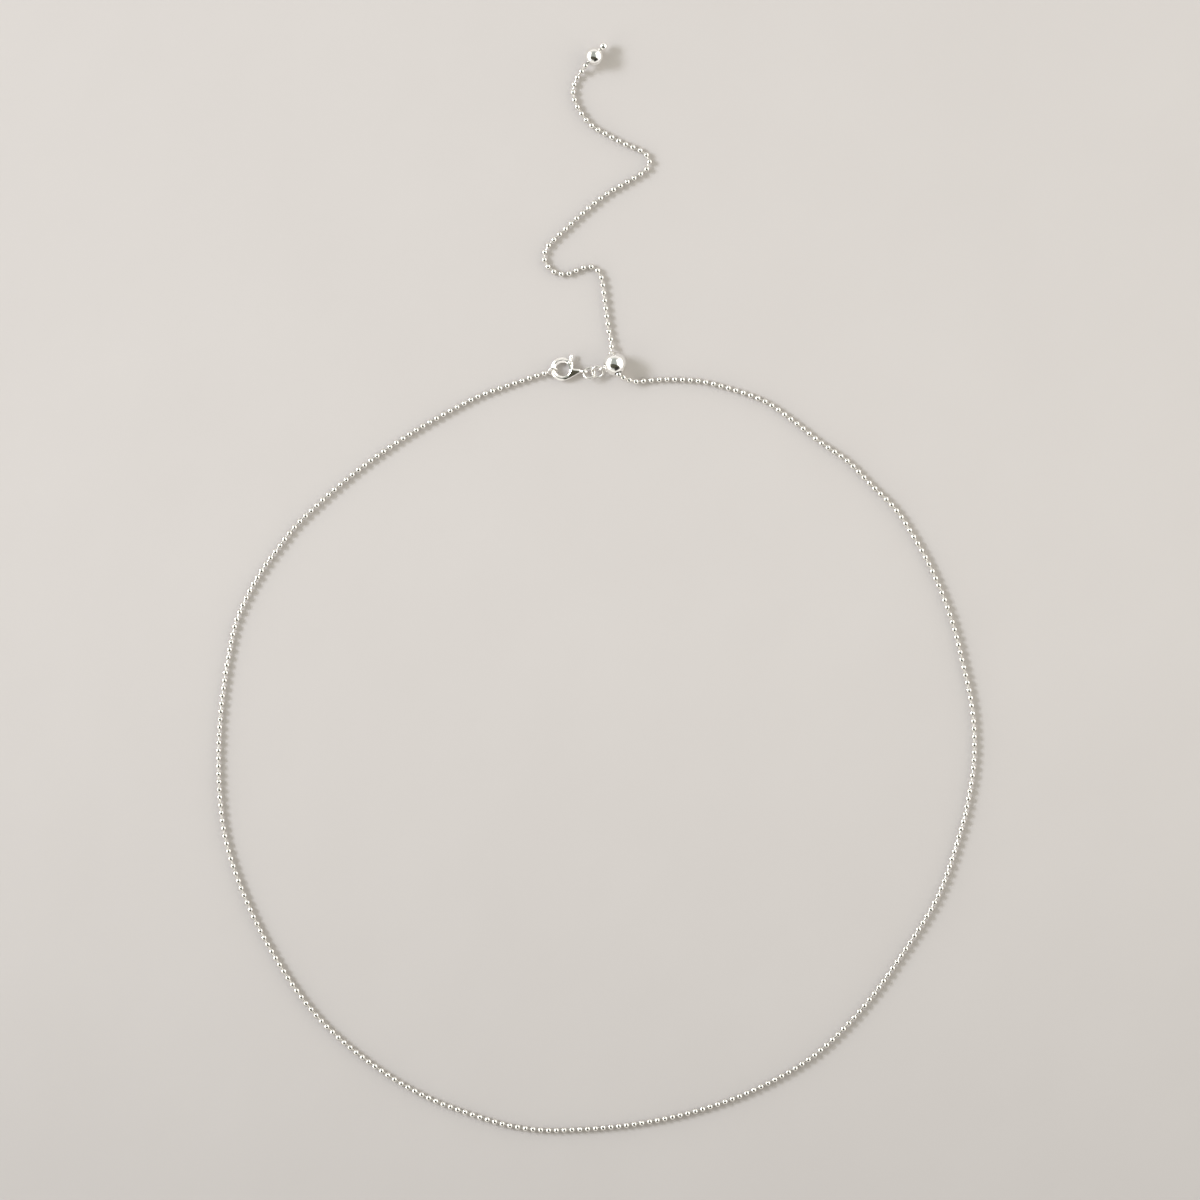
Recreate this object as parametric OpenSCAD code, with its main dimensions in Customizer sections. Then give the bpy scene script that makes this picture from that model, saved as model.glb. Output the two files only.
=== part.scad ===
// A slider necklace of ball chain in polished silver, laid flat in a loop with its free tail
// above it. x runs right, y towards the tail's end ball and z up from the surface it lies on.
// The chain's right end runs through the slider bead and on as the tail. Its left end has
// a ring in the hook of a lobster clasp, and two jump rings tie the clasp to the slider bead.

/* [Chain] */
// Diameter of one chain bead
bead_d = 1.3; // [1.1:0.05:1.45]
// Distance from one bead to the next along the chain
bead_pitch = 1.66; // [1.6:0.02:1.9]
// Diameter of the pins that link the beads
pin_wire_d = 0.36; // [0.3:0.02:0.4]
// Play of the pins in the middle of a bead
pin_play = 0.1; // [0.08:0.01:0.12]
// Diameter of the holes at the ends of a bead
bead_mouth_d = 0.94; // [0.9:0.02:1]

/* [Slider bead] */
// Diameter of the slider bead
slider_d = 5; // [4.6:0.1:5.4]
// Play of the chain in the slider's bore, all round
slider_play = 0.15; // [0.12:0.01:0.25]
// Wire of the ring soldered to the slider's side
bail_wire_d = 0.48; // [0.4:0.02:0.52]
// Inside diameter of that ring
bail_hole_d = 0.84; // [0.8:0.02:0.96]

/* [Tail end] */
// Diameter of the end ball
end_ball_d = 4; // [3.6:0.1:4.4]
// Diameter of the tip bead behind the end ball
tip_bead_d = 1.74; // [1.6:0.02:1.9]

/* [Jump rings] */
// Outside diameter of the two jump rings
jump_ring_d = 2.84; // [2.76:0.02:3]
// Wire of the two jump rings
jump_wire_d = 0.44; // [0.38:0.02:0.46]
// Outside diameter of the ring at the chain's end
end_ring_d = 2.4; // [2.36:0.02:2.44]
// Wire of the ring at the chain's end
end_wire_d = 0.4; // [0.34:0.02:0.42]

/* [Lobster clasp] */
// Outside diameter of the hook
hook_d = 5.04; // [4.9:0.02:5.2]
// Height of the hook's bar
hook_bar_h = 0.9; // [0.84:0.02:0.94]
// Width of the hook's bar, from its hole to its outside
hook_bar_w = 1.06; // [0.98:0.02:1.16]
// Thickness of the clasp at the lever's pivot
clasp_h = 1.9; // [1.8:0.05:2.2]
// Thickness of the tail of the clasp
clasp_tail_d = 1.06; // [0.9:0.02:1.1]
// Distance from the hook's centre to the eye's centre
eye_x = 4.6; // [4.5:0.05:5]
// Outside diameter of the eye
eye_d = 1.9; // [1.88:0.02:1.98]
// Wall of the eye, from its hole to its outside
eye_wall = 0.54; // [0.48:0.02:0.56]
// Thickness of the eye along its hole
eye_t = 0.64; // [0.58:0.02:0.7]
// Width of the lever's arm
lever_w = 1.16; // [1:0.02:1.2]
// Thickness of the lever
lever_t = 1; // [0.8:0.02:1.04]
// Distance from the pivot to the end of the thumb knob
knob_reach = 2.2; // [2:0.05:2.4]
// Width of the thumb knob
knob_w = 0.76; // [0.6:0.02:0.8]
// Diameter of the pivot pin
pivot_pin_d = 0.4; // [0.34:0.02:0.44]
// Running clearance of the lever, on its pin and against its neighbours
lever_play = 0.06; // [0.05:0.01:0.08]

/* [Hidden] */
silver = [0.86, 0.86, 0.85];
seat_gap = 0.04;
pin_fit = 0.02;
rest_gap = 0.01;
round_fn = 64;
fine_fn = 32;
bead_r = bead_d / 2;
thread_hole_d = pin_wire_d + 2 * pin_play;

// Route of the loop, clockwise from the slider bead, and of the tail, up to the end ball:
// chosen points of the chain's centre line, x and y. Where it leaves the slider bead, and
// where the tail rises to the end ball, shares give how far up it is.
SLIDER_POINT = [3.9, 47.8];
END_BALL_POINT = [-0.5, 113.3];
LOOP_DROP = [[6.3, 44.7], [8, 44.1], [10.6, 44.3]];
LOOP_DROP_SHARES = [0.62, 0.22, 0];
TAIL_DROP = [[3.15, 51.4], [3.2, 52.5]];
TAIL_DROP_SHARES = [0.4, 0.05];
TAIL_RISE = [[-3.6, 109.5], [-3, 110.4]];
TAIL_RISE_SHARES = [0.12, 0.5];
LOOP_POINTS = [[14.9, 44.6], [22.1, 44.2], [29.1, 42.4], [35.8, 39.9], [41.8, 35.8],
    [47.5, 31.3], [53.4, 27.2], [58.5, 22.1], [63.6, 17], [67.6, 11], [71.1, 4.6],
    [74, -2.1], [76.3, -8.9], [78, -16], [79.6, -23], [80.4, -30.2], [80.3, -37.4],
    [79.2, -44.6], [77.5, -51.6], [72.8, -65.2], [65.2, -77.6], [56.6, -89.3],
    [46.3, -99.4], [33.8, -106.6], [20.2, -111.5], [6, -114.3], [-8.4, -115.3],
    [-15.6, -114.8], [-22.7, -113.2], [-36.3, -108.2], [-48.6, -100.7], [-59.4, -91.2],
    [-67.9, -79.4], [-74.5, -66.6], [-79.1, -52.9], [-80.5, -38.5], [-79.8, -24],
    [-77.5, -9.8], [-75.1, -3], [-71.6, 3.4], [-67.4, 9.2], [-62.7, 14.8], [-51.9, 24.4],
    [-40, 32.8], [-27.4, 39.9], [-20.8, 42.6], [-14.4, 44.8]];
TAIL_POINTS = [[2.7, 54.3], [2.1, 58.5], [1.6, 62.6], [1.1, 66], [0.1, 67.9], [-1.5, 68.6],
    [-3.6, 68.1], [-5.6, 67.2], [-7.6, 67], [-9.4, 67.7], [-10.7, 69.1], [-11.2, 70.8],
    [-10.6, 72.6], [-9, 74.4], [-6.1, 77.1], [-2.6, 80.3], [1.6, 83.7], [5.8, 86.2],
    [9.4, 88.3], [10.8, 89.5], [11.3, 91], [10.5, 92.5], [8.7, 93.6], [5.4, 95],
    [2.1, 96.8], [-0.9, 98.5], [-3.1, 101], [-4.6, 103.7], [-5, 106.3], [-4.4, 108.4]];

function unit(v) = v / norm(v);
function turned(a) = [cos(a), sin(a), 0];
function at_height(p, z) = [p[0], p[1], z];
function laid(points) = [for (p = points) at_height(p, bead_r)];
function sloped(points, shares, top) = [for (i = [0 : len(points) - 1])
    at_height(points[i], bead_r + shares[i] * (top - bead_r))];
function grounded(points) = [for (p = points) [p[0], p[1], max(p[2], bead_r)]];

// Smooth curve through the points, with a number of steps from each point to the next
function between(a, b, c, d, t) = (2 * b + (c - a) * t + (2 * a - 5 * b + 4 * c - d) * t * t
    + (3 * b - a - 3 * c + d) * t * t * t) / 2;
function smooth(p, steps) = [for (i = [0 : len(p) - 2], k = [0 : steps - 1])
    between(p[max(i - 1, 0)], p[i], p[i + 1], p[min(i + 2, len(p) - 1)], k / steps),
    p[len(p) - 1]];

// Length of a line of points up to each of them, and the point at a length
function lengths(p) = [for (i = 0, s = 0; i < len(p);
    s = s + (i + 1 < len(p) ? norm(p[i + 1] - p[i]) : 0), i = i + 1) s];
function point_at(p, run, s) =
    [for (k = [0 : 2]) lookup(s, [for (i = [0 : len(p) - 1]) [run[i], p[i][k]]])];

// Places along the necklace, from the slider bead by way of the jump rings to the clasp
mouth = slider_d / 2;
bore_lip = 0.1 * slider_d;
bore_flare = 0.16 * slider_d;
slider_at = at_height(SLIDER_POINT, mouth);
bore_turn = -70;
bore_rise = 20;
bore_way = turned(bore_turn) * cos(bore_rise) + [0, 0, sin(bore_rise)];
mouth_rise = mouth * sin(bore_rise);
bore_d = bead_d + 2 * slider_play;
bail_dip = 15;
bail_r = (bail_hole_d + bail_wire_d) / 2;
bail_turn = bore_turn - 90;
bail_clear = 0.03;
bail_reach = slider_d / 2 + bail_r - bail_wire_d / 2 + bail_clear;
bail_at = slider_at + bail_reach * (turned(bail_turn) * cos(bail_dip)
    - [0, 0, sin(bail_dip)]);
jump_r = (jump_ring_d - jump_wire_d) / 2;
link_ring_at = bail_at + jump_r * [-0.82, -0.55, -0.27];
clasp_ring_xy = link_ring_at + jump_r * [-1.45, -0.22, 0];
eye_xy = clasp_ring_xy + jump_r * [-0.99, 0.27, 0];
eye_r = (eye_d - eye_wall) / 2;
clasp_ring_at = at_height(clasp_ring_xy, clasp_h / 2 + 0.28 * jump_r);
clasp_ring_tilt = 23;
clasp_ring_turn = 108;
link_ring_tilt = 22;
link_ring_turn = -90;
clasp_turn = -7;
head_at = [eye_xy[0], eye_xy[1], 0] - eye_x * turned(clasp_turn) + [0, 0, clasp_h / 2];

// The clasp, measured from its hook's centre
hook_r = (hook_d - hook_bar_w) / 2;
hook_hole_r = hook_r - hook_bar_w / 2;
pivot = [0.3 * hook_d, 0.24 * hook_d, 0];
heel = [0.31 * hook_d, -0.29 * hook_d, 0];
heel_d = hook_bar_h + 0.1;
rim = [0.37 * hook_d, -0.1 * hook_d, 0];
rim_d = hook_bar_h + 0.16;
crest = [0.42 * hook_d, 0, 0.18 * clasp_h];
crest_d = hook_bar_h - 0.14;
hook_start_a = 115;
hook_turn_a = 250;
tail_end = [eye_x - eye_r - eye_wall / 4 - clasp_tail_d / 4, 0, 0];
lever_r = hook_d / 2 - lever_play / 2 - lever_w / 2;
lever_reach = hook_d * 0.54;
lever_start_a = 40;
lever_turn_a = 110;
lever_hub_d = 1.24;
knob_turn = -3;
slot_t = lever_t + 2 * lever_play;
slot_room = 0.36;
slot_r = lever_hub_d / 2 + slot_room;
mouth_edge = 0.13 * hook_d;
ring_on_hook_a = 200;
end_ring_r = (end_ring_d - end_wire_d) / 2;
ring_slack = 0.1;
ring_reach = hook_r + ring_slack;
end_ring_lean = 36;
end_ring_z = max(0, end_ring_r * cos(end_ring_lean) + end_wire_d / 2 + rest_gap - clasp_h / 2);
neck_d = pin_wire_d;
neck_len = 0.5;
chain_end_turn = clasp_turn + ring_on_hook_a;
chain_end_at = head_at + (ring_reach + end_ring_d / 2 + neck_len) * turned(chain_end_turn)
    + [0, 0, end_ring_z];

// The end ball and the tip bead, on a line that leaves the tail's last bead
end_ball_at = at_height(END_BALL_POINT, end_ball_d / 2);
end_turn = 47;
last_bead_at = end_ball_at - (end_ball_d / 2 + bead_r + seat_gap) * turned(end_turn);
tip_bead_at = end_ball_at + (end_ball_d / 2 + tip_bead_d / 2 + seat_gap) * turned(end_turn);

// Centre lines of the loop and of the tail, which meet in the middle of the slider bead
loop_exit = 0.4;
loop_curve = grounded(smooth(concat(
    [slider_at, slider_at + 0.5 * mouth * bore_way, slider_at + mouth * bore_way,
     slider_at + (mouth + loop_exit) * bore_way],
    sloped(LOOP_DROP, LOOP_DROP_SHARES, mouth + mouth_rise), laid(LOOP_POINTS),
    [chain_end_at]), 4));
loop_run = lengths(loop_curve);
loop_len = loop_run[len(loop_run) - 1];
loop_rings = 70;
bend_step = 1.2;
bend_steps = 8;
bend_len = bend_steps * bend_step;
ring_step = (loop_len - bend_len) / loop_rings;
loop_line = [for (s = concat([for (k = [0 : bend_steps - 1]) k * bend_step],
                             [for (k = [0 : loop_rings]) bend_len + k * ring_step]))
    point_at(loop_curve, loop_run, s)];
bore_line = [for (k = [0 : 4]) slider_at - k / 4 * mouth * bore_way];
tail_exit = 0.1;
tail_line = grounded(concat(bore_line, smooth(concat(
    [slider_at - (mouth + tail_exit) * bore_way],
    sloped(TAIL_DROP, TAIL_DROP_SHARES, mouth - mouth_rise), laid(TAIL_POINTS),
    sloped(TAIL_RISE, TAIL_RISE_SHARES, last_bead_at[2]), [last_bead_at]), 4)));
tail_run = lengths(tail_line);
bead_inset = 0.2;
first_bead_s = bead_r + bead_inset;
tail_len = tail_run[len(tail_run) - 1] - first_bead_s;
tail_steps = floor(tail_len / bead_pitch);
bead_at = [for (i = [0 : tail_steps])
    point_at(tail_line, tail_run, first_bead_s + i * tail_len / tail_steps)];
wire_line = concat([slider_at - seat_gap * bore_way], bead_at,
    [end_ball_at, tip_bead_at]);

// Tube with eight sides along a line of points, its lowest edge and its sides at full radius
module tube(line, r, sides = 8) {
    last = len(line) - 1;
    rings = [for (i = [0 : last]) let (
            t = unit(line[min(i + 1, last)] - line[max(i - 1, 0)]),
            side = unit(cross(t, [0, 0, 1])), up = cross(side, t))
        for (k = [0 : sides - 1])
            line[i] + r * (cos(k * 360 / sides) * side + sin(k * 360 / sides) * up)];
    walls = [for (i = [0 : last - 1], k = [0 : sides - 1]) let (
            a = i * sides + k, b = i * sides + (k + 1) % sides)
        each [[a, b, b + sides], [a, b + sides, a + sides]]];
    caps = [[for (k = [0 : sides - 1]) sides - 1 - k],
            [for (k = [0 : sides - 1]) last * sides + k]];
    polyhedron(rings, concat(walls, caps), convexity = 10);
}

// Ring of round wire about z
module wire_ring(r, wire_d) {
    rotate_extrude($fn = round_fn) translate([r, 0]) circle(d = wire_d, $fn = fine_fn);
}

// Flat section with round sides
module flat_round(width, height) {
    square([width - height, height], center = true);
    for (s = [-1, 1]) translate([s * (width - height) / 2, 0]) circle(d = height, $fn = fine_fn);
}

// Ring whose axis leans from z by tilt, towards the direction turn
module leaning_ring(at, r, wire_d, tilt, turn) {
    translate(at) rotate([0, 0, turn]) rotate([0, tilt, 0]) wire_ring(r, wire_d);
}

// Turns z to a direction
module along(v) {
    rotate([0, acos(v[2] / norm(v)), atan2(v[1], v[0])]) children();
}

module in_clasp() {
    translate(head_at) rotate([0, 0, clasp_turn]) children();
}

// The loop of chain from the slider bead round to the clasp, as its outer form
module loop_chain() {
    color(silver) tube(loop_line, bead_r);
}

// One bead along z, with a hole that opens out towards both mouths
module drilled_bead() {
    mouth_r = bead_mouth_d / 2;
    mouth_z = sqrt(pow(bead_r, 2) - pow(mouth_r, 2));
    rotate_extrude($fn = fine_fn) difference() {
        circle(d = bead_d, $fn = fine_fn);
        polygon([[-bead_d, -bead_d], [mouth_r, -bead_d], [mouth_r, -mouth_z], [thread_hole_d / 2, 0],
                 [mouth_r, mouth_z], [mouth_r, bead_d], [-bead_d, bead_d]]);
    }
}

// The beads of the free tail
module tail_beads() {
    color(silver) for (i = [0 : tail_steps])
        translate(bead_at[i]) along(wire_line[i + 2] - wire_line[i]) drilled_bead();
}

// The pins of the tail as one thread, on through the end ball to the tip bead
module tail_wire() {
    color(silver) tube(wire_line, pin_wire_d / 2);
}

// The slider bead with the ring soldered to its side
module slider_bead() {
    color(silver) difference() {
        union() {
            translate(slider_at) sphere(d = slider_d, $fn = round_fn);
            leaning_ring(bail_at, bail_r, bail_wire_d, 90, bore_turn);
        }
        translate(slider_at) along(bore_way) {
            cylinder(d = bore_d, h = slider_d + 1, center = true, $fn = fine_fn);
            for (s = [-1, 1]) scale([1, 1, s]) translate([0, 0, 0.52 * slider_d - bore_lip])
                cylinder(d1 = bore_d, d2 = bore_d + bore_flare, h = bore_lip, $fn = fine_fn);
        }
    }
}

// The ball that ends the tail, drilled for the thread
module end_ball() {
    color(silver) translate(end_ball_at) difference() {
        sphere(d = end_ball_d, $fn = round_fn);
        rotate([0, 90, end_turn])
            cylinder(d = thread_hole_d, h = end_ball_d + 1, center = true, $fn = fine_fn);
    }
}

// The bead at the tip, with the thread's end inside it
module tip_bead() {
    color(silver) translate(tip_bead_at) difference() {
        sphere(d = tip_bead_d, $fn = round_fn);
        rotate([0, -90, end_turn]) translate([0, 0, -seat_gap])
            cylinder(d = thread_hole_d, h = tip_bead_d, $fn = fine_fn);
    }
}

// The ring at the chain's end, round the hook's bar, with its neck to the last bead
module end_ring() {
    color(silver) in_clasp() rotate([0, 0, ring_on_hook_a]) {
        translate([ring_reach, 0, end_ring_z]) rotate([90 + end_ring_lean, 0, 0])
            wire_ring(end_ring_r, end_wire_d);
        translate([ring_reach + end_ring_r, 0, end_ring_z]) rotate([0, 90, 0])
            cylinder(d = neck_d, h = neck_len + end_wire_d / 2 - seat_gap, $fn = fine_fn);
    }
}

// The cast body of the clasp: hook, shoulder with the lever's slot, tail and eye
module clasp_body() {
    color(silver) in_clasp() difference() {
        union() {
            rotate([0, 0, hook_start_a]) rotate_extrude(angle = hook_turn_a, $fn = round_fn)
                translate([hook_r, 0]) flat_round(hook_bar_w, hook_bar_h);
            hull() {
                translate(pivot) sphere(d = clasp_h, $fn = fine_fn);
                translate(rim) sphere(d = rim_d, $fn = fine_fn);
            }
            hull() {
                for (s = [-1, 1]) translate([crest[0], crest[1], s * crest[2]])
                    sphere(d = crest_d, $fn = fine_fn);
                translate(heel) sphere(d = heel_d, $fn = fine_fn);
                translate(tail_end) sphere(d = clasp_tail_d, $fn = fine_fn);
            }
            translate([eye_x, 0, 0]) rotate([90, 0, 0]) rotate_extrude($fn = round_fn)
                translate([eye_r, 0]) rotate(90) flat_round(eye_t, eye_wall);
        }
        cylinder(r = hook_hole_r, h = clasp_h + 1, center = true, $fn = round_fn);
        translate(pivot) {
            cylinder(r = slot_r, h = slot_t, center = true, $fn = round_fn);
            cylinder(d = pivot_pin_d + pin_fit, h = clasp_h + 1, center = true, $fn = fine_fn);
        }
        intersection() {
            translate(pivot) cylinder(r = lever_reach + lever_play, h = clasp_h + 1,
                                      center = true, $fn = round_fn);
            translate([-hook_d, mouth_edge, -clasp_h]) cube([hook_d, hook_d, 2 * clasp_h]);
        }
    }
}

// The lever: arm across the hook's mouth, hub on the pin and thumb knob
module clasp_lever() {
    color(silver) in_clasp() difference() {
        intersection() {
            union() {
                rotate([0, 0, lever_start_a]) rotate_extrude(angle = lever_turn_a, $fn = round_fn)
                    translate([lever_r, 0]) circle(d = lever_w, $fn = fine_fn);
                translate(pivot) cylinder(d = lever_hub_d, h = lever_t, center = true, $fn = fine_fn);
                translate(pivot) rotate([-90, 0, knob_turn]) {
                    cylinder(d = knob_w, h = knob_reach - knob_w / 2, $fn = fine_fn);
                    translate([0, 0, knob_reach - knob_w / 2]) sphere(d = knob_w, $fn = fine_fn);
                }
            }
            translate(pivot) cylinder(r = lever_reach, h = lever_t, center = true, $fn = round_fn);
        }
        translate(pivot) cylinder(d = pivot_pin_d + 2 * lever_play, h = lever_t + 1,
                                  center = true, $fn = fine_fn);
    }
}

// The pin that the lever turns on, riveted in the body's two cheeks
module clasp_pin() {
    color(silver) in_clasp() translate(pivot)
        cylinder(d = pivot_pin_d, h = clasp_h - seat_gap, center = true, $fn = fine_fn);
}

// The jump ring in the clasp's eye
module clasp_ring() {
    color(silver) leaning_ring(clasp_ring_at, jump_r, jump_wire_d, clasp_ring_tilt, clasp_ring_turn);
}

// The jump ring that ties the clasp's ring to the slider bead
module link_ring() {
    color(silver) leaning_ring(link_ring_at, jump_r, jump_wire_d, link_ring_tilt, link_ring_turn);
}

loop_chain();
tail_beads();
tail_wire();
slider_bead();
end_ball();
tip_bead();
end_ring();
clasp_body();
clasp_lever();
clasp_pin();
clasp_ring();
link_ring();
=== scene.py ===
# A slider necklace of ball chain in polished silver, lying on pale paper in an open loop with
# its free tail above it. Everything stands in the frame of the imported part, in metres.
import math

import bmesh
import bpy
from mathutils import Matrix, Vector


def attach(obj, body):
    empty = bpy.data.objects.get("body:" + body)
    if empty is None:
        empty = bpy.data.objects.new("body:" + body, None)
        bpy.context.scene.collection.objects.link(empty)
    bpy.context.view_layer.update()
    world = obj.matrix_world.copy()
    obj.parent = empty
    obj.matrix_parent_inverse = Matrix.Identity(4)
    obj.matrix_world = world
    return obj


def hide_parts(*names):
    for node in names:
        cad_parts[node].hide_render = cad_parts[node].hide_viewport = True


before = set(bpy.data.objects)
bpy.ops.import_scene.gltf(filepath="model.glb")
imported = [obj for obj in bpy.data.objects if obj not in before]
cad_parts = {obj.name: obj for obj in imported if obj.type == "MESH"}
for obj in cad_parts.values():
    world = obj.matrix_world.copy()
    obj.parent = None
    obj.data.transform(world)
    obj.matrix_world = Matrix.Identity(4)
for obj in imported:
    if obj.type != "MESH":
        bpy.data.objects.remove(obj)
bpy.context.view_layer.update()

MM = 0.001
CREASE = math.radians(50)

# The chain's beads
# Hollow silver balls, pressed from tube and closed over the heads of short pins, 297 round the
# loop. They leave the slider bead, lie on the paper and end at the ring in the clasp's hook.
BEAD_R = 0.65 * MM
BEAD_PITCH = 1.66 * MM
MOUTH_R = 0.3 * MM
DIMPLE_DEPTH = 0.25 * MM
BEAD_PLAY = 0.01 * MM
PIN_R = 0.17 * MM
END_GAP = 0.2 * MM
LINE_STRETCH = 0.12
PIT_FINENESS = 9
PLAY_SEED = 7
SLIDER_AT = Vector((3.9, 47.8, 2.5)) * MM
SLIDER_R = 2.5 * MM
BORE_TURN = math.radians(-70)
BORE_RISE = math.radians(20)
BORE_EXIT = 0.4 * MM
CHAIN_END = Vector((-10.949, 45.933, 1.019)) * MM
LOOP_DROP = [(6.3, 44.7, 0.62), (8, 44.1, 0.22), (10.6, 44.3, 0)]
LOOP_POINTS = [(14.9, 44.6), (22.1, 44.2), (29.1, 42.4), (35.8, 39.9), (41.8, 35.8),
    (47.5, 31.3), (53.4, 27.2), (58.5, 22.1), (63.6, 17), (67.6, 11), (71.1, 4.6),
    (74, -2.1), (76.3, -8.9), (78, -16), (79.6, -23), (80.4, -30.2), (80.3, -37.4),
    (79.2, -44.6), (77.5, -51.6), (72.8, -65.2), (65.2, -77.6), (56.6, -89.3),
    (46.3, -99.4), (33.8, -106.6), (20.2, -111.5), (6, -114.3), (-8.4, -115.3),
    (-15.6, -114.8), (-22.7, -113.2), (-36.3, -108.2), (-48.6, -100.7), (-59.4, -91.2),
    (-67.9, -79.4), (-74.5, -66.6), (-79.1, -52.9), (-80.5, -38.5), (-79.8, -24),
    (-77.5, -9.8), (-75.1, -3), (-71.6, 3.4), (-67.4, 9.2), (-62.7, 14.8), (-51.9, 24.4),
    (-40, 32.8), (-27.4, 39.9), (-20.8, 42.6), (-14.4, 44.8)]


def turned(angle):
    """The level direction at an angle from +X."""
    return Vector((math.cos(angle), math.sin(angle), 0))


BORE_WAY = math.cos(BORE_RISE) * turned(BORE_TURN) + Vector((0, 0, math.sin(BORE_RISE)))


def lifted(points, top):
    """Points in millimetres as places on the paper, or raised by their third number, which is
    their share of the way up to top."""
    return [Vector((p[0] * MM, p[1] * MM, BEAD_R + (p[2] if len(p) > 2 else 0) * (top - BEAD_R)))
            for p in points]


def smooth_route(points, steps=4):
    """The curve that the part's own route takes through its points, nowhere below the paper."""
    route = []
    for i in range(len(points) - 1):
        a, b, c = points[max(i - 1, 0)], points[i], points[i + 1]
        d = points[min(i + 2, len(points) - 1)]
        for k in range(steps):
            t = k / steps
            route.append((2 * b + (c - a) * t + (2 * a - 5 * b + 4 * c - d) * t * t
                          + (3 * b - a - 3 * c + d) * t ** 3) / 2)
    route.append(points[-1])
    return [Vector((p.x, p.y, max(p.z, BEAD_R))) for p in route]


def silver_grain():
    """What all the silver shares: a faint cloud of tone, polishing lines and fine pits."""
    tree = bpy.data.node_groups.new("silver grain", "ShaderNodeTree")
    face = tree.interface
    for name, kind in (("Place", "NodeSocketVector"), ("Cloud scale", "NodeSocketFloat"),
                       ("Line scale", "NodeSocketFloat"), ("Bright", "NodeSocketColor"),
                       ("Dull", "NodeSocketColor"), ("Smoothest", "NodeSocketFloat"),
                       ("Roughest", "NodeSocketFloat")):
        face.new_socket(name, in_out="INPUT", socket_type=kind)
    for name, kind in (("Colour", "NodeSocketColor"), ("Roughness", "NodeSocketFloat"),
                       ("Height", "NodeSocketFloat")):
        face.new_socket(name, in_out="OUTPUT", socket_type=kind)
    node, link = tree.nodes.new, tree.links.new
    given, out = node("NodeGroupInput"), node("NodeGroupOutput")
    cloud, lines, pits = (node("ShaderNodeTexNoise") for _ in range(3))
    cloud.inputs["Detail"].default_value = 3
    lines.inputs["Detail"].default_value = 4
    stretch = node("ShaderNodeVectorMath")
    stretch.operation = "MULTIPLY"
    stretch.inputs[1].default_value = (1, LINE_STRETCH, 1)
    link(given.outputs["Place"], stretch.inputs[0])
    link(stretch.outputs[0], lines.inputs["Vector"])
    link(given.outputs["Line scale"], lines.inputs["Scale"])
    for texture in (cloud, pits):
        link(given.outputs["Place"], texture.inputs["Vector"])
        link(given.outputs["Cloud scale"], texture.inputs["Scale"])
    finer = node("ShaderNodeMath")
    finer.operation = "MULTIPLY"
    finer.inputs[1].default_value = PIT_FINENESS
    link(given.outputs["Cloud scale"], finer.inputs[0])
    link(finer.outputs[0], pits.inputs["Scale"])
    tone = node("ShaderNodeMix")
    tone.data_type = "RGBA"
    link(cloud.outputs["Fac"], tone.inputs["Factor"])
    link(given.outputs["Bright"], tone.inputs["A"])
    link(given.outputs["Dull"], tone.inputs["B"])
    link(tone.outputs["Result"], out.inputs["Colour"])
    both = node("ShaderNodeMath")
    both.operation = "MULTIPLY"
    link(cloud.outputs["Fac"], both.inputs[0])
    link(lines.outputs["Fac"], both.inputs[1])
    rough = node("ShaderNodeMapRange")
    rough.inputs["From Min"].default_value = 0.1
    rough.inputs["From Max"].default_value = 0.45
    link(both.outputs[0], rough.inputs["Value"])
    link(given.outputs["Smoothest"], rough.inputs["To Min"])
    link(given.outputs["Roughest"], rough.inputs["To Max"])
    link(rough.outputs[0], out.inputs["Roughness"])
    height = node("ShaderNodeMath")
    height.operation = "ADD"
    link(lines.outputs["Fac"], height.inputs[0])
    link(pits.outputs["Fac"], height.inputs[1])
    link(height.outputs[0], out.inputs["Height"])
    return tree


SILVER_GRAIN = silver_grain()


def silver_finish(name, bright, dull, smoothest, roughest, cloud_mm, line_mm, relief_mm):
    """One silver finish: its two tones, its range of polish, and the sizes of its grain."""
    material = bpy.data.materials.new(name)
    material.use_nodes = True
    nodes, link = material.node_tree.nodes, material.node_tree.links.new
    shader = nodes["Principled BSDF"]
    shader.inputs["Metallic"].default_value = 1
    shader.inputs["Specular Tint"].default_value = (1, 1, 1, 1)
    place = nodes.new("ShaderNodeTexCoord")
    grain = nodes.new("ShaderNodeGroup")
    grain.node_tree = SILVER_GRAIN
    for socket, value in (("Cloud scale", 1 / (cloud_mm * MM)), ("Line scale", 1 / (line_mm * MM)),
                          ("Bright", (*bright, 1)), ("Dull", (*dull, 1)),
                          ("Smoothest", smoothest), ("Roughest", roughest)):
        grain.inputs[socket].default_value = value
    bump = nodes.new("ShaderNodeBump")
    bump.inputs["Strength"].default_value = 1
    bump.inputs["Distance"].default_value = relief_mm * MM
    link(place.outputs["Object"], grain.inputs["Place"])
    link(grain.outputs["Colour"], shader.inputs["Base Color"])
    link(grain.outputs["Roughness"], shader.inputs["Roughness"])
    link(grain.outputs["Height"], bump.inputs["Height"])
    link(bump.outputs["Normal"], shader.inputs["Normal"])
    return material


def turned_part(profile, sides, at, axis):
    """Points and faces of a part turned about an axis: radius and height from pole to pole, or
    round and back to the start where the part is open along its axis."""
    turn = Vector(axis).to_track_quat("Z", "Y").to_matrix()
    points, faces, rows = [], [], []
    for radius, height in profile:
        row = []
        for k in range(sides if radius > 0 else 1):
            a = math.tau * k / sides
            row.append(len(points))
            points.append(Vector(at) + turn @ Vector((radius * math.cos(a),
                                                      radius * math.sin(a), height)))
        rows.append(row)
    if len(rows[0]) > 1:
        rows.append(rows[0])
    for low, high in zip(rows, rows[1:]):
        for k in range(sides):
            corners = [low[k % len(low)], low[(k + 1) % len(low)],
                       high[(k + 1) % len(high)], high[k % len(high)]]
            faces.append(list(dict.fromkeys(corners)))
    return points, faces


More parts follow.
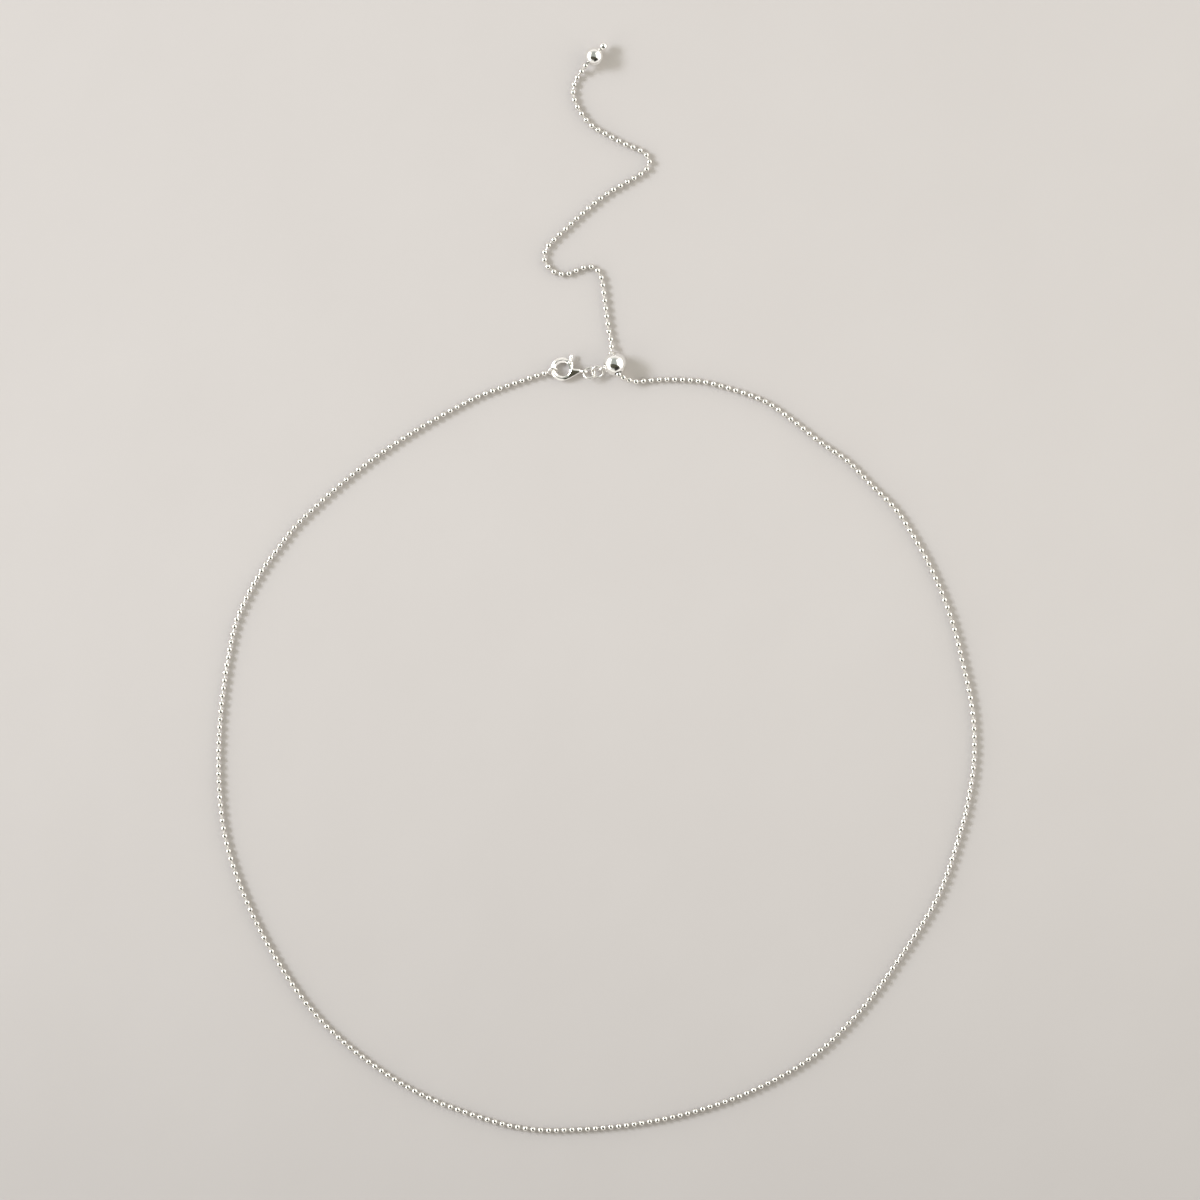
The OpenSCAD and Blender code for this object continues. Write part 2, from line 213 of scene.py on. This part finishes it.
def arc(radius, start, end, steps, centre=(0, 0)):
    """Radius and height along an arc, its angles counted from the axis, in degrees."""
    return [(centre[0] + radius * math.sin(a), centre[1] + radius * math.cos(a))
            for a in (math.radians(start + (end - start) * k / steps) for k in range(steps + 1))]


def smoothed(mesh):
    """Smooth shading, with edges left sharp where the faces meet at more than the crease."""
    mesh.shade_smooth()
    mesh.set_sharp_from_angle(angle=CREASE)
    return mesh


def mesh_of(name, shells, finish):
    """A smooth closed mesh from one or more shells."""
    mesh = bpy.data.meshes.new(name)
    points, faces = [], []
    for shell_points, shell_faces in shells:
        faces += [[i + len(points) for i in f] for f in shell_faces]
        points += shell_points
    mesh.from_pydata(points, [], faces)
    tidy = bmesh.new()
    tidy.from_mesh(mesh)
    bmesh.ops.recalc_face_normals(tidy, faces=tidy.faces)
    tidy.to_mesh(mesh)
    tidy.free()
    mesh.materials.append(finish)
    return smoothed(mesh)


def piece(name, mesh, slot, *nodes, body="necklace"):
    """Puts a finished mesh in the scene in place of its CAD nodes."""
    made = bpy.data.objects.new(name, mesh)
    bpy.context.scene.collection.objects.link(made)
    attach(made, body)
    if nodes:
        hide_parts(*nodes)
    return made


def plain_mesh(maker, name):
    """The maker's result with its modifiers as a mesh of its own; the maker is thrown away."""
    ready = maker.evaluated_get(bpy.context.evaluated_depsgraph_get())
    mesh = bpy.data.meshes.new_from_object(ready)
    mesh.name = name
    bpy.data.objects.remove(maker)
    return mesh


def string_tree(name, finish, bead=None):
    """Geometry nodes for a route cut to length and stepped in beads: with a bead it sets one at
    each step, and without it draws the pins that run on from bead to bead."""
    tree = bpy.data.node_groups.new(name, "GeometryNodeTree")
    face = tree.interface
    face.new_socket("Route", in_out="INPUT", socket_type="NodeSocketGeometry")
    for socket in ("First bead", "Last gap", "Pitch", "Play", "Pin radius"):
        face.new_socket(socket, in_out="INPUT", socket_type="NodeSocketFloat")
    face.new_socket("String", in_out="OUTPUT", socket_type="NodeSocketGeometry")
    node, link = tree.nodes.new, tree.links.new
    given, out = node("NodeGroupInput"), node("NodeGroupOutput")
    whole, end = node("GeometryNodeCurveLength"), node("ShaderNodeMath")
    end.operation = "SUBTRACT"
    link(given.outputs["Route"], whole.inputs[0])
    link(whole.outputs[0], end.inputs[0])
    link(given.outputs["Last gap"], end.inputs[1])
    cut = node("GeometryNodeTrimCurve")
    cut.mode = "LENGTH"
    link(given.outputs["Route"], cut.inputs["Curve"])
    link(given.outputs["First bead"], cut.inputs[4])
    link(end.outputs[0], cut.inputs[5])
    step = node("GeometryNodeResampleCurve")
    step.mode = "LENGTH"
    link(cut.outputs[0], step.inputs["Curve"])
    link(given.outputs["Pitch"], step.inputs["Length"])
    if bead:
        places = node("GeometryNodeCurveToPoints")
        places.mode = "EVALUATED"
        link(step.outputs[0], places.inputs["Curve"])
        reach, back = node("ShaderNodeCombineXYZ"), node("ShaderNodeVectorMath")
        shift = node("FunctionNodeRandomValue")
        back.operation = "SCALE"
        back.inputs["Scale"].default_value = -1
        shift.data_type = "FLOAT_VECTOR"
        shift.inputs["Seed"].default_value = PLAY_SEED
        for axis in "XY":
            link(given.outputs["Play"], reach.inputs[axis])
        link(reach.outputs[0], back.inputs[0])
        link(reach.outputs[0], shift.inputs["Max"])
        link(back.outputs[0], shift.inputs["Min"])
        moved = node("GeometryNodeSetPosition")
        link(places.outputs["Points"], moved.inputs["Geometry"])
        link(shift.outputs[0], moved.inputs["Offset"])
        aim = node("FunctionNodeAlignRotationToVector")
        aim.axis = "Z"
        link(places.outputs["Tangent"], aim.inputs["Vector"])
        one = node("GeometryNodeObjectInfo")
        one.inputs["Object"].default_value = bead
        last = node("GeometryNodeInstanceOnPoints")
        link(moved.outputs[0], last.inputs["Points"])
        link(one.outputs["Geometry"], last.inputs["Instance"])
        link(aim.outputs[0], last.inputs["Rotation"])
    else:
        ring = node("GeometryNodeCurvePrimitiveCircle")
        ring.inputs["Resolution"].default_value = 8
        link(given.outputs["Pin radius"], ring.inputs["Radius"])
        last = node("GeometryNodeCurveToMesh")
        last.inputs["Fill Caps"].default_value = True
        link(step.outputs[0], last.inputs["Curve"])
        link(ring.outputs[0], last.inputs["Profile Curve"])
    real, coat = node("GeometryNodeRealizeInstances"), node("GeometryNodeSetMaterial")
    coat.inputs["Material"].default_value = finish
    link(last.outputs[0], real.inputs[0])
    link(real.outputs[0], coat.inputs["Geometry"])
    link(coat.outputs[0], out.inputs[0])
    return tree


def strung(name, route, tree, **sizes):
    """Runs a string tree along a route and gives the plain mesh."""
    curve = bpy.data.curves.new(name, "CURVE")
    curve.dimensions = "3D"
    line = curve.splines.new("POLY")
    line.points.add(len(route) - 1)
    for point, place in zip(line.points, route):
        point.co = (*place, 1)
    maker = bpy.data.objects.new(name, curve)
    bpy.context.scene.collection.objects.link(maker)
    nodes = maker.modifiers.new("string", "NODES")
    nodes.node_group = tree
    for item in tree.interface.items_tree:
        if item.in_out == "INPUT" and item.name in sizes:
            nodes[item.identifier] = sizes[item.name]
    return smoothed(plain_mesh(maker, name))


bead_silver = silver_finish("bead silver", (0.86, 0.85, 0.82), (0.77, 0.75, 0.7), 0.05, 0.12,
                            0.7, 0.06, 0.0008)
pin_silver = silver_finish("pin silver", (0.86, 0.84, 0.8), (0.7, 0.67, 0.62), 0.16, 0.34,
                           0.4, 0.04, 0.001)
mouth_angle = math.degrees(math.asin(MOUTH_R / BEAD_R))
bead_shape = ([(0, BEAD_R - DIMPLE_DEPTH)] + arc(BEAD_R, mouth_angle, 180 - mouth_angle, 6)
              + [(0, DIMPLE_DEPTH - BEAD_R)])
one_bead = bpy.data.objects.new("one bead", mesh_of("one bead", [
    turned_part(bead_shape, 12, (0, 0, 0), (0, 0, 1))], bead_silver))
beads_tree = string_tree("beads on a route", bead_silver, one_bead)
pins_tree = string_tree("pins on a route", pin_silver)
loop_route = smooth_route(
    [SLIDER_AT + reach * BORE_WAY
     for reach in (0, SLIDER_R / 2, SLIDER_R, SLIDER_R + BORE_EXIT)]
    + lifted(LOOP_DROP, SLIDER_AT.z + SLIDER_R * BORE_WAY.z) + lifted(LOOP_POINTS, 0)
    + [CHAIN_END])
sizes = {"First bead": BEAD_R + END_GAP, "Last gap": END_GAP, "Pitch": BEAD_PITCH,
         "Play": BEAD_PLAY, "Pin radius": PIN_R}
piece("loop_beads", strung("loop_beads", loop_route, beads_tree, **sizes), "chain_silver",
      "loop_chain")
piece("loop_pins", strung("loop_pins", loop_route, pins_tree, **sizes), "pin_silver")

# The tail
# The chain's free end: the same beads and pins, running out of the slider bead's upper side
# and up to the end ball.
TAIL_EXIT = 0.1 * MM
TAIL_DROP = [(3.15, 51.4, 0.4), (3.2, 52.5, 0.05)]
TAIL_POINTS = [(2.7, 54.3), (2.1, 58.5), (1.6, 62.6), (1.1, 66), (0.1, 67.9), (-1.5, 68.6),
    (-3.6, 68.1), (-5.6, 67.2), (-7.6, 67), (-9.4, 67.7), (-10.7, 69.1), (-11.2, 70.8),
    (-10.6, 72.6), (-9, 74.4), (-6.1, 77.1), (-2.6, 80.3), (1.6, 83.7), (5.8, 86.2),
    (9.4, 88.3), (10.8, 89.5), (11.3, 91), (10.5, 92.5), (8.7, 93.6), (5.4, 95),
    (2.1, 96.8), (-0.9, 98.5), (-3.1, 101), (-4.6, 103.7), (-5, 106.3), (-4.4, 108.4)]
END_RISE = [(-3.6, 109.5, 0.12), (-3, 110.4, 0.5)]
END_BALL_AT = Vector((-0.5, 113.3, 2)) * MM
END_BALL_R = 2 * MM
END_TURN = math.radians(47)
SEAT_GAP = 0.04 * MM
last_bead = END_BALL_AT - (END_BALL_R + BEAD_R + SEAT_GAP) * turned(END_TURN)
tail_route = [SLIDER_AT - k / 4 * SLIDER_R * BORE_WAY for k in range(5)] + smooth_route(
    [SLIDER_AT - (SLIDER_R + TAIL_EXIT) * BORE_WAY]
    + lifted(TAIL_DROP, SLIDER_AT.z - SLIDER_R * BORE_WAY.z) + lifted(TAIL_POINTS, 0)
    + lifted(END_RISE, last_bead.z) + [last_bead])
sizes["Last gap"] = 0
piece("tail_bead_string", strung("tail_bead_string", tail_route, beads_tree, **sizes),
      "chain_silver", "tail_beads")
piece("tail_pins", strung("tail_pins", tail_route, pins_tree, **sizes), "pin_silver", "tail_wire")

# The slider bead
# A hollow silver ball with a rolled lip round its bore, and a small ring of wire soldered
# to its side, which ties it to the clasp. The chain runs through it and can be drawn up.
BORE_R = 0.8 * MM
BALL_SIDES = 96
WIRE_SIDES = 20
LIP_R = 0.16 * MM
COLLAR_R = 0.46 * MM
BAIL_AT = Vector((1.222, 46.825, 1.736)) * MM
BAIL_R = 0.66 * MM
BAIL_WIRE_R = 0.24 * MM


def ring_of_wire(at, axis, ring_r, wire_r, steps=96, open_share=0, start=0):
    """A ring of round wire about an axis, closed, or with a fine butt joint left open."""
    turn = Vector(axis).to_track_quat("Z", "Y").to_matrix()
    points, faces = [], []
    for i in range(steps + (open_share > 0)):
        a = start + math.tau * (1 - open_share) * i / steps
        out = Vector((math.cos(a), math.sin(a), 0))
        for k in range(WIRE_SIDES):
            b = math.tau * k / WIRE_SIDES
            points.append(Vector(at) + turn @ (out * (ring_r + wire_r * math.cos(b))
                                               + Vector((0, 0, wire_r * math.sin(b)))))
    for i in range(steps):
        j = i + 1 if open_share else (i + 1) % steps
        for k in range(WIRE_SIDES):
            n = (k + 1) % WIRE_SIDES
            faces.append([i * WIRE_SIDES + k, i * WIRE_SIDES + n,
                          j * WIRE_SIDES + n, j * WIRE_SIDES + k])
    if open_share:
        faces += [list(range(WIRE_SIDES)), [steps * WIRE_SIDES + k for k in range(WIRE_SIDES)]]
    return points, faces


ball_silver = silver_finish("ball silver", (0.96, 0.95, 0.93), (0.9, 0.89, 0.86), 0.03, 0.09,
                            1.6, 0.09, 0.0008)
ring_silver = silver_finish("ring silver", (0.97, 0.95, 0.91), (0.9, 0.87, 0.81), 0.26, 0.38,
                            0.9, 0.05, 0.001)
lip_z = math.sqrt((SLIDER_R - LIP_R) ** 2 - (BORE_R + LIP_R) ** 2)
lip_angle = math.degrees(math.atan2(BORE_R + LIP_R, lip_z))
slider_shape = (arc(SLIDER_R, lip_angle, 180 - lip_angle, 40)
                + arc(LIP_R, 180 - lip_angle, 270, 6, (BORE_R + LIP_R, -lip_z))[1:]
                + arc(LIP_R, -90, lip_angle, 6, (BORE_R + LIP_R, lip_z))[:-1])
bail_way = (BAIL_AT - SLIDER_AT).normalized()
collar_foot = math.sqrt(SLIDER_R ** 2 - COLLAR_R ** 2)
collar = [(0, collar_foot - 0.2 * MM), (COLLAR_R, collar_foot - 0.02 * MM),
          (0.36 * MM, SLIDER_R + 0.02 * MM), (0.27 * MM, SLIDER_R + 0.12 * MM),
          (0.2 * MM, SLIDER_R + 0.26 * MM), (0, SLIDER_R + 0.3 * MM)]
piece("slider_ball", mesh_of("slider_ball", [
    turned_part(slider_shape, BALL_SIDES, SLIDER_AT, BORE_WAY)], ball_silver), "ball_silver",
    "slider_bead")
piece("slider_bail", mesh_of("slider_bail", [
    turned_part(collar, 32, SLIDER_AT, bail_way),
    ring_of_wire(BAIL_AT, turned(BORE_TURN), BAIL_R, BAIL_WIRE_R, steps=64)], ring_silver),
    "ring_silver")

# The end ball and the tip bead
# The ball that stops the slider on the tail, drilled for the last pin, and the small bead
# that closes the pin's end behind it.
TIP_R = 0.87 * MM
END_HOLE_R = 0.28 * MM
END_LIP_R = 0.07 * MM
PIN_SHORT = 0.5 * MM
tip_at = END_BALL_AT + (END_BALL_R + TIP_R + SEAT_GAP) * turned(END_TURN)


def drilled_ball(ball_r, hole_r, lip_r, steps):
    """Profile of a ball with a hole right through it and rounded lips."""
    z = math.sqrt((ball_r - lip_r) ** 2 - (hole_r + lip_r) ** 2)
    a = math.degrees(math.atan2(hole_r + lip_r, z))
    return (arc(ball_r, a, 180 - a, steps)
            + arc(lip_r, 180 - a, 270, 4, (hole_r + lip_r, -z))[1:]
            + arc(lip_r, -90, a, 4, (hole_r + lip_r, z))[:-1])


piece("tail_end_ball", mesh_of("tail_end_ball", [turned_part(
    drilled_ball(END_BALL_R, END_HOLE_R, END_LIP_R, 40), BALL_SIDES, END_BALL_AT,
    turned(END_TURN))],
    ball_silver), "ball_silver", "end_ball")
piece("tail_tip_bead", mesh_of("tail_tip_bead", [turned_part(
    [(0, 0.2 * MM - TIP_R)] + arc(TIP_R, 162, 0, 24)[:-1] + [(0, TIP_R)], 48, tip_at,
    turned(END_TURN))], ball_silver), "ball_silver", "tip_bead")
pin_reach = (tip_at - last_bead).length - PIN_SHORT
piece("end_pin", mesh_of("end_pin", [turned_part(
    [(0, 0), (PIN_R, 0), (PIN_R, pin_reach), (0, pin_reach)], 16, last_bead,
    turned(END_TURN))], pin_silver), "pin_silver")

# The ring at the chain's end
# A closed ring of silver wire round the hook's bar, with a short neck soldered to it that
# holds the pin of the loop's last bead.
CLASP_AT = Vector((-7.256, 46.786, 0.95)) * MM
RING_WAY = math.radians(193)
RING_REACH = 2.09 * MM
RING_LIFT = 0.069 * MM
END_RING_AT = CLASP_AT + RING_REACH * turned(RING_WAY) + Vector((0, 0, RING_LIFT))
END_RING_R = 1.0 * MM
END_WIRE_R = 0.2 * MM
RING_LEAN = math.radians(36)
ring_side = turned(RING_WAY + math.pi / 2)
ring_axis = -(math.cos(RING_LEAN) * ring_side) - math.sin(RING_LEAN) * Vector((0, 0, 1))
neck_shape = [(0, -0.12 * MM), (0.3 * MM, -0.06 * MM), (0.26 * MM, 0.16 * MM),
              (0.18 * MM, 0.3 * MM), (0.18 * MM, 0.9 * MM), (0, 0.9 * MM)]
piece("chain_end_ring", mesh_of("chain_end_ring", [
    ring_of_wire(END_RING_AT, ring_axis, END_RING_R, END_WIRE_R),
    turned_part(neck_shape, 20, END_RING_AT + END_RING_R * turned(RING_WAY), turned(RING_WAY))],
    ring_silver), "ring_silver", "end_ring")

# The clasp's body
# One silver casting, tumbled and polished until its edges are soft: the open hook, the boss
# that holds the lever, the tail and the eye.
CAST_VOXEL = 0.045 * MM
CLASP_TURN = math.radians(-7)
HOOK_R = 1.99 * MM
HOOK_HALF = 0.53 * MM
HOOK_KEEL = 0.45 * MM
KEEL_FROM = 55
KEEL_TO = 300
KEEL_EASE = 25
KEEL_REACH = 1.15
KEEL_FLOOR = 0.02
HOLE_R = 1.46 * MM
CHEEK_FROM = 5
CHEEK_FLOOR = 0.62 * MM
CHAMFER_HALF = 75
CHAMFER_REACH = (-0.1 * MM, 0.8 * MM)
CHAMFER_EDGE = 0.3 * MM
CHAMFER_SLOPE = 0.84
MERGE = 0.002 * MM


def keeled(mesh, middle_r, half_width, height, blunt):
    """Dresses the top of the bar down to a ridge along its middle, on the side away from the
    boss. A higher blunt makes the ridge rounder."""
    for point in mesh.vertices:
        place = point.co - CLASP_AT
        along = (math.degrees(math.atan2(place.y, place.x) - CLASP_TURN) + 360) % 360
        across = abs(math.hypot(place.x, place.y) - middle_r) / half_width
        share = (min(1, max(0, (along - KEEL_FROM) / KEEL_EASE))
                 * min(1, max(0, (KEEL_TO - along) / KEEL_EASE)))
        if share > 0 and place.z > 0 and across < KEEL_REACH:
            ridge = height * max(KEEL_FLOOR, 1 + blunt - math.hypot(across, blunt))
            point.co.z += share * (min(ridge, place.z) - place.z)


def chamfered(mesh):
    """Slopes the boss down to the hook's hole, as the bar's own inner side does."""
    for point in mesh.vertices:
        place = point.co - CLASP_AT
        along = (math.degrees(math.atan2(place.y, place.x) - CLASP_TURN) + 180) % 360 - 180
        out = math.hypot(place.x, place.y) - HOLE_R
        share = (min(1, max(0, (along + CHAMFER_HALF) / 20))
                 * min(1, max(0, (CHAMFER_HALF - along) / 15)))
        if share > 0 and CHAMFER_REACH[0] < out < CHAMFER_REACH[1] and place.z > 0:
            top = CHAMFER_EDGE + CHAMFER_SLOPE * max(out, 0)
            if along > CHEEK_FROM:
                top = max(top, CHEEK_FLOOR)
            point.co.z += share * (min(top, place.z) - place.z)


def cast_form(node, voxel, rounds, finish, *keel):
    """The node's form with its edges worn soft, as a casting's are after tumbling."""
    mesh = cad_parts[node].data.copy()
    form = bmesh.new()
    form.from_mesh(mesh)
    bmesh.ops.remove_doubles(form, verts=form.verts, dist=MERGE)
    form.to_mesh(mesh)
    form.free()
    maker = bpy.data.objects.new(node + " casting", mesh)
    bpy.context.scene.collection.objects.link(maker)
    skin = maker.modifiers.new("skin", "REMESH")
    skin.mode = "VOXEL"
    skin.voxel_size = voxel
    tumbled = maker.modifiers.new("tumbled", "SMOOTH")
    tumbled.factor = 0.5
    tumbled.iterations = rounds
    made = plain_mesh(maker, node + " cast")
    keeled(made, *keel)
    if node == "clasp_body":
        chamfered(made)
    made.materials.clear()
    made.materials.append(finish)
    made.shade_smooth()
    return made


clasp_silver = silver_finish("clasp silver", (0.95, 0.94, 0.91), (0.86, 0.84, 0.8), 0.06, 0.16,
                             1.2, 0.08, 0.0015)
piece("clasp_casting", cast_form("clasp_body", CAST_VOXEL, 8, clasp_silver,
                                 HOOK_R, HOOK_HALF, HOOK_KEEL, 0.2), "clasp_silver", "clasp_body")

# The clasp's lever and its pin
# The sprung arm that closes the hook's mouth, cast with its thumb knob, and the rivet that it
# turns on, dressed flush with the body's cheeks.
LEVER_R = 1.91 * MM
LEVER_HALF = 0.58 * MM
LEVER_KEEL = 0.5 * MM
lever_silver = silver_finish("lever silver", (0.97, 0.96, 0.94), (0.9, 0.88, 0.85), 0.12, 0.24,
                             1.0, 0.06, 0.0012)
piece("lever_arm", cast_form("clasp_lever", 0.035 * MM, 6, lever_silver,
                             LEVER_R, LEVER_HALF, LEVER_KEEL, 0.1), "clasp_silver", "clasp_lever",
      body="lever")
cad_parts["clasp_pin"].data.materials.clear()
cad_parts["clasp_pin"].data.materials.append(pin_silver)

# The two jump rings
# Rings of round silver wire with a closed butt joint, one through the clasp's eye and one
# through it and the ring on the slider bead.
JUMP_R = 1.2 * MM
JUMP_WIRE_R = 0.22 * MM


def leaning(tilt, turn):
    """The axis of a ring that leans by tilt towards the turn, both in degrees."""
    tilt, turn = math.radians(tilt), math.radians(turn)
    return Vector((math.sin(tilt) * math.cos(turn), math.sin(tilt) * math.sin(turn),
                   math.cos(tilt)))


for name, node, at, tilt, turn, joint in (
        ("clasp_jump_ring", "clasp_ring", (-1.502, 45.901, 1.286), 23, 108, 4.4),
        ("link_jump_ring", "link_ring", (0.238, 46.165, 1.412), 22, -90, 1.9)):
    piece(name, mesh_of(name, [ring_of_wire(
        Vector(at) * MM, leaning(tilt, turn), JUMP_R, JUMP_WIRE_R, open_share=0.003,
        start=joint)], ring_silver), "ring_silver", node)

# The set
# Pale paper under the necklace, a window to the left between two lit walls, the dim side of the
# room with its darkest part, and a camera straight above.
PAPER_HALF = 2
CAMERA_HEIGHT = 2
VIEW_WIDTH = 0.2556
VIEW_CENTRE = (0.00075, -0.0024)
PAPER_TONES = {"A": (0.521, 0.482, 0.452), "B": (0.54, 0.502, 0.471)}
# Painted shade: the paper's colour falls off towards the near edge in place of a falloff of light.
PAPER_PAINTED_FALLOFF = {"From Min": 0.035, "From Max": -0.33, "To Min": 1, "To Max": 0.67}
TOOTH_SHARE = 0.06


def paper_material():
    """Pale paper with a fine tooth, faint waves and clouds, and painted shade: darker towards the
    near edge.
    """
    material = bpy.data.materials.new("pale paper")
    material.use_nodes = True
    nodes, link = material.node_tree.nodes, material.node_tree.links.new
    shader = nodes["Principled BSDF"]
    shader.inputs["Roughness"].default_value = 0.85
    place, cloud, tone = (nodes.new(kind) for kind in (
        "ShaderNodeTexCoord", "ShaderNodeTexNoise", "ShaderNodeMix"))
    tooth, waves, both, bump = (nodes.new(kind) for kind in (
        "ShaderNodeTexNoise", "ShaderNodeTexNoise", "ShaderNodeMath", "ShaderNodeBump"))
    tone.data_type = "RGBA"
    for socket, colour in PAPER_TONES.items():
        tone.inputs[socket].default_value = (*colour, 1)
    for texture, scale in ((cloud, 30), (tooth, 1800), (waves, 45)):
        texture.inputs["Scale"].default_value = scale
        link(place.outputs["Object"], texture.inputs["Vector"])
    # Painted shade: the paper's colour is scaled down towards the near edge, standing in for light
    # falloff.
    parts, painted_falloff, painted_shade_tone = (nodes.new(kind) for kind in (
        "ShaderNodeSeparateXYZ", "ShaderNodeMapRange", "ShaderNodeVectorMath"))
    painted_falloff.interpolation_type = "SMOOTHSTEP"
    for socket, value in PAPER_PAINTED_FALLOFF.items():
        painted_falloff.inputs[socket].default_value = value
    painted_shade_tone.operation = "SCALE"
    both.operation = "MULTIPLY_ADD"
    both.inputs[1].default_value = TOOTH_SHARE
    bump.inputs["Distance"].default_value = 0.0004
    bump.inputs["Strength"].default_value = 0.5
    link(cloud.outputs["Fac"], tone.inputs["Factor"])
    link(place.outputs["Object"], parts.inputs[0])
    link(parts.outputs["Y"], painted_falloff.inputs["Value"])
    link(tone.outputs["Result"], painted_shade_tone.inputs[0])
    link(painted_falloff.outputs[0], painted_shade_tone.inputs["Scale"])
    link(painted_shade_tone.outputs[0], shader.inputs["Base Color"])
    link(tooth.outputs["Fac"], both.inputs[0])
    link(waves.outputs["Fac"], both.inputs[2])
    link(both.outputs[0], bump.inputs["Height"])
    link(bump.outputs["Normal"], shader.inputs["Normal"])
    return material


def plain_look(name, colour):
    """A material of one colour, for what is only seen in reflections."""
    material = bpy.data.materials.new(name)
    material.use_nodes = True
    material.node_tree.nodes["Principled BSDF"].inputs["Base Color"].default_value = (*colour, 1)
    return material


def card(name, corners, material):
    """A flat piece of the set."""
    mesh = bpy.data.meshes.new(name)
    mesh.from_pydata(corners, [], [list(range(len(corners)))])
    mesh.materials.append(material)
    made = bpy.data.objects.new(name, mesh)
    bpy.context.scene.collection.objects.link(made)
    return made


card("paper", [(x * PAPER_HALF, y * PAPER_HALF, 0)
               for x, y in ((-1, -1), (1, -1), (1, 1), (-1, 1))], paper_material())
for name, corners, colour in (
        ("dim side", [(-0.76, 0.02, 0.8), (-0.2, 0.05, 0.8), (0.2, -0.05, 0.8),
                      (1.7, -0.9, 0.8), (1.6, -1.3, 0.8), (0.1, -2.8, 0.8),
                      (-0.1, -0.75, 0.8), (-0.95, -0.7, 0.8)], (0.1, 0.1, 0.07)),
        ("dark side", [(0.02, -0.45, 0.78), (0.45, -0.45, 0.78), (1.3, -0.95, 0.78),
                       (0.5, -1.5, 0.78), (0.1, -1.8, 0.78)], (0.02, 0.018, 0.015))):
    side = card(name, corners, plain_look(name, colour))
    for seen_by in ("camera", "diffuse", "transmission", "shadow"):
        setattr(side, "visible_" + seen_by, False)


def panel(name, at, size, power, colour):
    """A flat lamp that faces the middle of the paper."""
    light = bpy.data.lights.new(name, "AREA")
    light.shape = "RECTANGLE"
    light.size, light.size_y = size
    light.energy = power
    light.color = colour
    lamp = bpy.data.objects.new(name, light)
    lamp.location = at
    lamp.rotation_euler = (-Vector(at)).to_track_quat("-Z", "Y").to_euler()
    bpy.context.scene.collection.objects.link(lamp)


panel("window", (-2.4, 0.77, 1.63), (1.2, 0.6), 74, (0.82, 0.88, 1))
panel("left wall", (-1.02, 0.05, 0.52), (2.2, 1.1), 8.2, (1, 0.97, 0.925))
panel("right wall", (0.95, 0.2, 0.66), (2, 1.5), 10.2, (1, 0.97, 0.925))
world = bpy.context.scene.world or bpy.data.worlds.new("room")
bpy.context.scene.world = world
world.use_nodes = True
sky_nodes, sky_link = world.node_tree.nodes, world.node_tree.links.new
way, parts, shade = (sky_nodes.new(kind) for kind in (
    "ShaderNodeTexCoord", "ShaderNodeSeparateXYZ", "ShaderNodeValToRGB"))
for stop, place, colour in ((0, 0.3, (1, 0.97, 0.92, 1)), (1, 0.65, (0.42, 0.44, 0.41, 1))):
    shade.color_ramp.elements[stop].position = place
    shade.color_ramp.elements[stop].color = colour
sky_link(way.outputs["Generated"], parts.inputs[0])
sky_link(parts.outputs["Z"], shade.inputs["Fac"])
sky_link(shade.outputs["Color"], sky_nodes["Background"].inputs["Color"])

lens = bpy.data.cameras.new("camera")
lens.sensor_width = 36
lens.lens = lens.sensor_width * CAMERA_HEIGHT / VIEW_WIDTH
camera = bpy.data.objects.new("camera", lens)
camera.location = (*VIEW_CENTRE, CAMERA_HEIGHT)
bpy.context.scene.collection.objects.link(camera)
bpy.context.scene.camera = camera
bpy.context.scene.view_settings.view_transform = "Standard"
